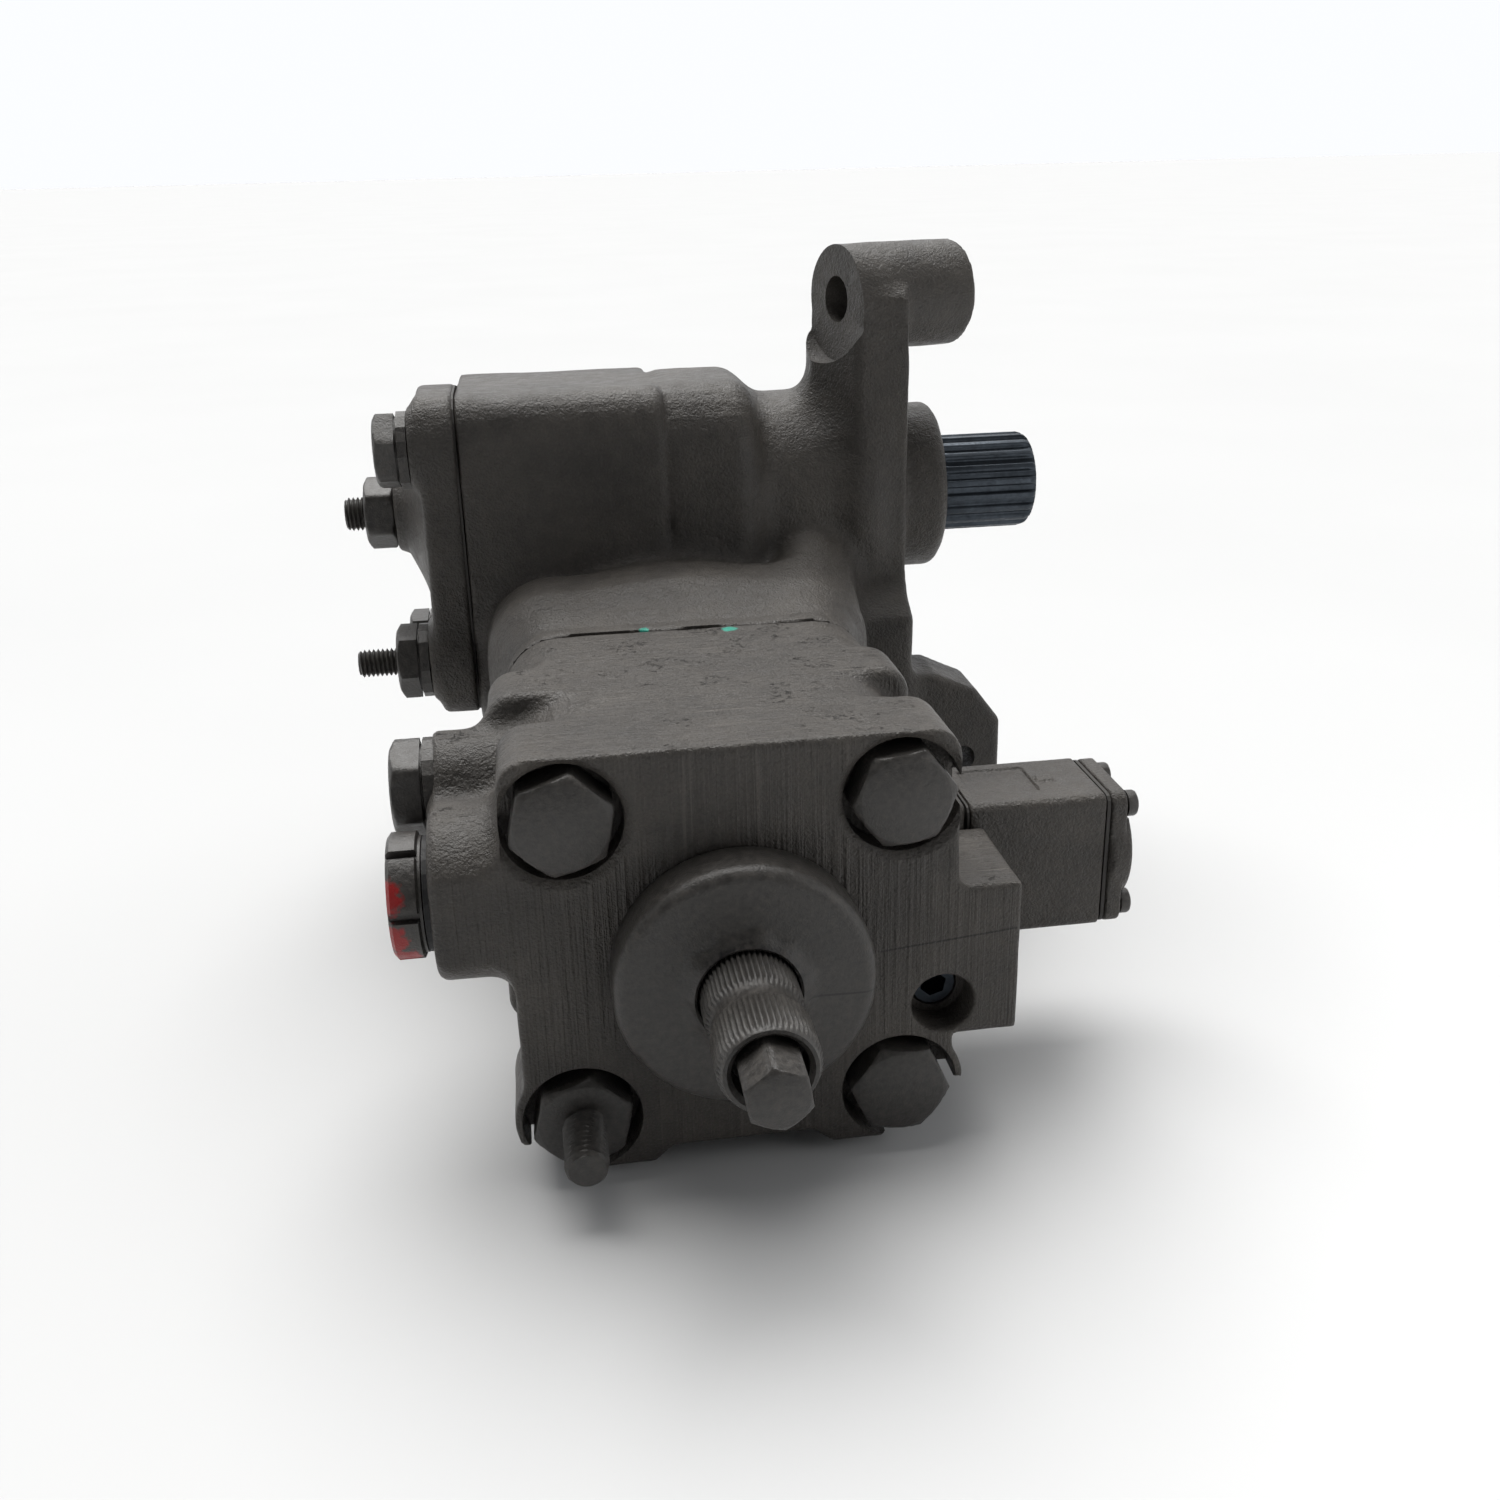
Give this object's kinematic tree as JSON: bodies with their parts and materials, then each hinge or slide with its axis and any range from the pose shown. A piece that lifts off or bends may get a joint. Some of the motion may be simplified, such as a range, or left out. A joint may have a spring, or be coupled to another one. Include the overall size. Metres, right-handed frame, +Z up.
{
  "type": "hydraulic power steering gear",
  "caption": "Integral recirculating-ball power steering gear: serrated input shaft, bolted valve housing, splined sector shaft, side cover with adjuster and mounting ears.",
  "frame": {"origin": "centre of the bounding box at its base, which is the housing's underside", "axes": "+X along the sector shaft towards its splined end, +Y along the input shaft's axis into the gear, +Z up"},
  "size_m": [0.246, 0.3652, 0.2258],
  "materials": {
    "painted_casting": "rough cast iron under thin dark grey-brown paint",
    "painted_fastener": "steel fastener painted over with the casting",
    "dark_steel": "dark, oiled steel",
    "bright_steel": "ground bearing steel",
    "spring_steel": "drawn spring steel",
    "black_rubber": "moulded black seal rubber",
    "gasket_fibre": "rubber-bound gasket fibre"
  },
  "bodies": {
    "housing": {"gear_housing": "painted_casting", "valve_housing": "painted_casting", "side_cover": "painted_casting", "input_seal_cover": "painted_casting", "auxiliary_valve_body": "painted_casting", "auxiliary_end_cap": "painted_casting", "valve_bolt_1": "painted_fastener", "valve_bolt_2": "painted_fastener", "valve_bolt_3": "painted_fastener", "valve_stud_bolt": "painted_fastener", "cover_bolt_1": "painted_fastener", "cover_bolt_2": "painted_fastener", "cover_bolt_3": "painted_fastener", "cover_stud_bolt": "painted_fastener", "cover_washer_1": "painted_fastener", "cover_washer_2": "painted_fastener", "cover_washer_3": "painted_fastener", "cover_washer_4": "painted_fastener", "adjuster_jam_nut": "painted_fastener", "relief_valve_cap": "painted_fastener", "hex_port_plug": "painted_fastener", "port_plug_washer": "painted_fastener", "auxiliary_screw_1": "painted_fastener", "auxiliary_screw_2": "painted_fastener", "auxiliary_screw_3": "painted_fastener", "auxiliary_screw_4": "painted_fastener", "adjuster_screw": "dark_steel", "bearing_retainer": "dark_steel", "socket_plug": "dark_steel", "input_shaft_bearing": "bright_steel", "sector_shaft_bearing": "bright_steel", "sector_cover_bearing": "bright_steel", "relief_spring": "spring_steel", "auxiliary_spring": "spring_steel", "seal_retaining_ring": "spring_steel", "housing_seal_ring": "black_rubber", "input_shaft_seal": "black_rubber", "sector_pressure_seal": "black_rubber", "sector_dust_seal": "black_rubber", "relief_cap_seal": "black_rubber", "side_cover_gasket": "gasket_fibre", "auxiliary_mount_gasket": "gasket_fibre", "auxiliary_end_gasket": "gasket_fibre"},
    "sector_shaft": {"sector_shaft": "dark_steel", "adjuster_retaining_ring": "spring_steel"},
    "rack_piston": {"rack_piston": "bright_steel", "piston_seal_ring": "black_rubber", "ball_train": "bright_steel", "ball_return_guide": "bright_steel"},
    "worm": {"worm_shaft": "bright_steel", "valve_sleeve": "bright_steel", "front_thrust_bearing": "bright_steel", "rear_thrust_bearing": "bright_steel"},
    "input_shaft": {"input_shaft": "painted_fastener", "torsion_bar": "painted_fastener"},
    "relief_poppet": {"relief_poppet": "bright_steel"},
    "auxiliary_spool": {"auxiliary_spool": "bright_steel"}
  },
  "joints": [
    {"name": "sector_turn", "type": "hinge", "parent": "housing", "child": "sector_shaft", "pos_m": [-0.0145, 0.0786, 0.14], "axis": [1, 0, 0], "range_deg": [-43, 43]},
    {"name": "piston_slide", "type": "slide", "parent": "housing", "child": "rack_piston", "axis": [0, 1, 0], "range_m": [-0.0264, 0.0264]},
    {"name": "worm_turn", "type": "hinge", "parent": "housing", "child": "worm", "pos_m": [-0.0145, -0.1214, 0.062], "axis": [0, 1, 0], "range_deg": [-870, 870]},
    {"name": "valve_twist", "type": "hinge", "parent": "worm", "child": "input_shaft", "pos_m": [-0.0145, -0.1214, 0.062], "axis": [0, 1, 0], "range_deg": [-4, 4], "stiffness_Nm_per_rad": 115},
    {"name": "relief_lift", "type": "slide", "parent": "housing", "child": "relief_poppet", "axis": [-1, 0, 0], "range_m": [0, 0.0015], "stiffness_N_per_m": 2000, "deforming": ["relief_spring"]},
    {"name": "spool_slide", "type": "slide", "parent": "housing", "child": "auxiliary_spool", "axis": [1, 0, 0], "range_m": [-0.0025, 0.004], "stiffness_N_per_m": 800, "deforming": ["auxiliary_spring"]}
  ],
  "couplings": [
    {"joint": "piston_slide", "follows": "sector_turn", "m_per_rad": 0.035},
    {"joint": "worm_turn", "follows": "sector_turn", "ratio": -19.992}
  ]
}
